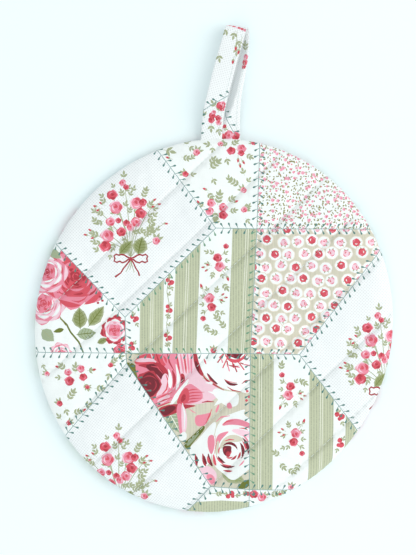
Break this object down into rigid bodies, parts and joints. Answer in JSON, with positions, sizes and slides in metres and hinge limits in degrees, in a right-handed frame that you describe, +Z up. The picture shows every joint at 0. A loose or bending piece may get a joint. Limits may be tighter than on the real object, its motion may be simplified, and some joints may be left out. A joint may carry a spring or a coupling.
{
  "type": "quilted pot holder",
  "caption": "Round quilted pot holder in floral patchwork-print cotton, with heat-resistant filling, diagonal quilting and a folded hanging loop sewn into its rim.",
  "frame": {"origin": "middle of the pad's underside, where it rests", "axes": "+Z up through the pad to its front face, +Y towards the hanging loop, +X to the right seen from the front"},
  "size_m": [0.1944, 0.261, 0.0094],
  "materials": {
    "printed_cotton": "matte plain-weave cotton printed with a floral patchwork in coral, pink, sage and white",
    "wadding": "soft matte fibre wadding",
    "heat_felt": "needle-punched felt with a metallic film fleck",
    "thread": "matte spun sewing thread"
  },
  "bodies": {
    "pad_main": {"front_cover_main": "printed_cotton", "front_wadding_main": "wadding", "heat_felt_main": "heat_felt", "back_wadding_main": "wadding", "back_cover_main": "printed_cotton", "rim_seam_main": "thread", "quilt_row_1": "thread", "quilt_row_2": "thread", "quilt_row_3": "thread", "quilt_row_4": "thread", "loop_ends": "printed_cotton"},
    "pad_flap": {"front_cover_flap": "printed_cotton", "front_wadding_flap": "wadding", "heat_felt_flap": "heat_felt", "back_wadding_flap": "wadding", "back_cover_flap": "printed_cotton", "rim_seam_flap": "thread", "quilt_row_5": "thread", "quilt_row_6": "thread", "quilt_row_7": "thread", "closing_stitches": "thread"},
    "loop": {"hanging_loop": "printed_cotton", "loop_topstitch": "thread"}
  },
  "joints": [
    {"name": "pad_fold", "type": "hinge", "parent": "pad_main", "child": "pad_flap", "pos_m": [0.00713, -0.00751, 0.0096], "axis": [-0.7254, -0.6884, 0], "range_deg": [0, 165]},
    {"name": "loop_swing", "type": "hinge", "parent": "pad_main", "child": "loop", "pos_m": [0.00395, 0.10311, 0.0036], "axis": [1, 0, 0], "range_deg": [-90, 90]}
  ]
}
